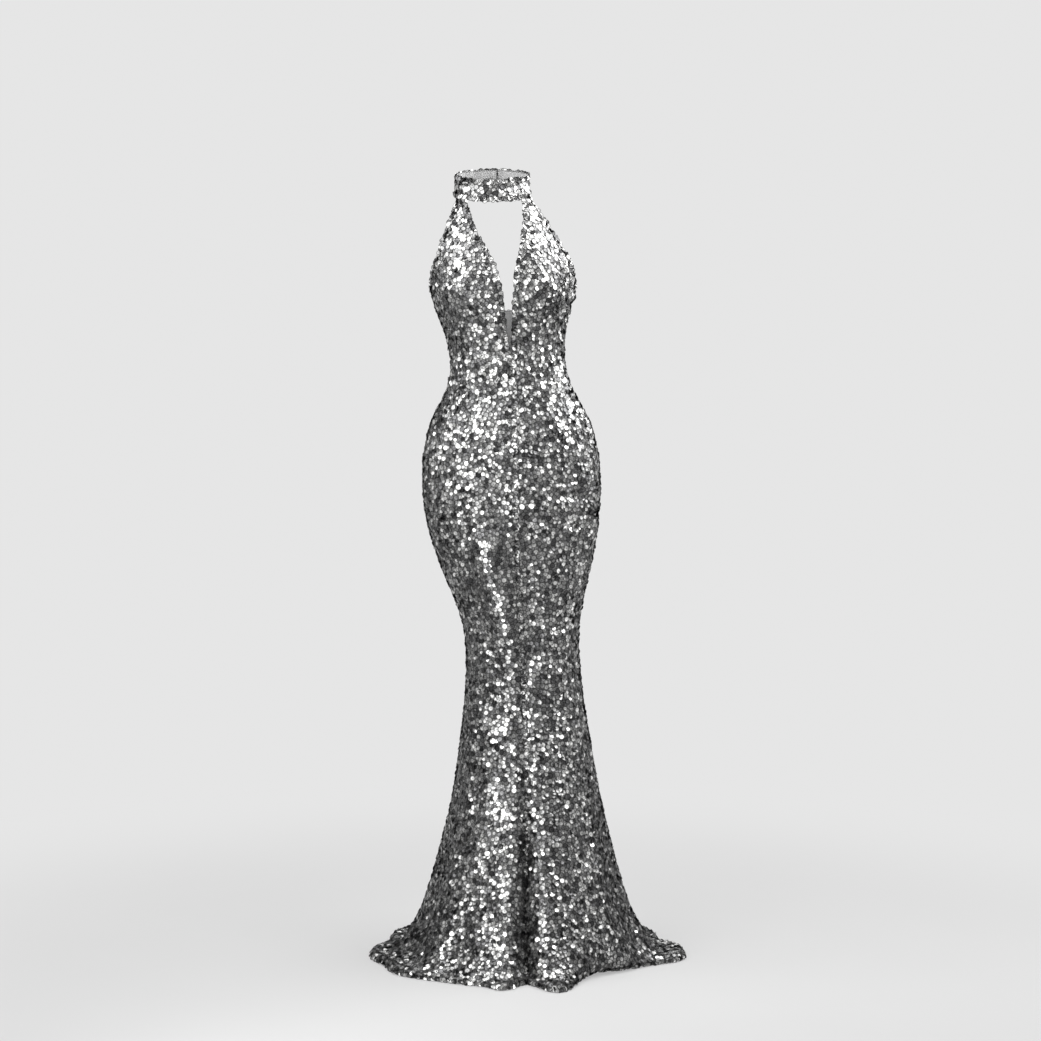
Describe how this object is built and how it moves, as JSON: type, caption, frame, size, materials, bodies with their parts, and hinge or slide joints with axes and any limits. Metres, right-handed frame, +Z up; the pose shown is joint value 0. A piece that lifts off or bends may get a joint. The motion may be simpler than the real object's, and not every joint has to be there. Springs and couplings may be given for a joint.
{
  "type": "evening gown",
  "caption": "Floor-length sequinned halter gown as worn: neck band, plunging neckline, fitted to the knee, flared skirt pooling on the floor, back zip.",
  "frame": {"origin": "centre of the neck band, where the wearer's neck carries the gown", "axes": "+Z up, -Y towards the front, +X towards the wearer's left"},
  "size_m": [0.6179, 0.6694, 1.5341],
  "materials": {
    "sequinned_cloth": "silver sequins",
    "metal": "polished",
    "zip_tape": "matt woven"
  },
  "bodies": {
    "gown": {"right_front": "sequinned_cloth", "left_front": "sequinned_cloth", "right_back": "sequinned_cloth", "left_back": "sequinned_cloth", "neck_band": "sequinned_cloth", "neck_button_upper": "metal", "neck_button_lower": "metal", "zip_tape_right": "zip_tape", "zip_tape_left": "zip_tape", "zip_slider": "metal"},
    "pull": {"zip_pull": "metal"}
  },
  "joints": [
    {"name": "pull_hinge", "type": "hinge", "parent": "gown", "child": "pull", "pos_m": [0.01157, 0.09841, -0.25351], "axis": [1, 0, 0], "range_deg": [0, 160]}
  ]
}
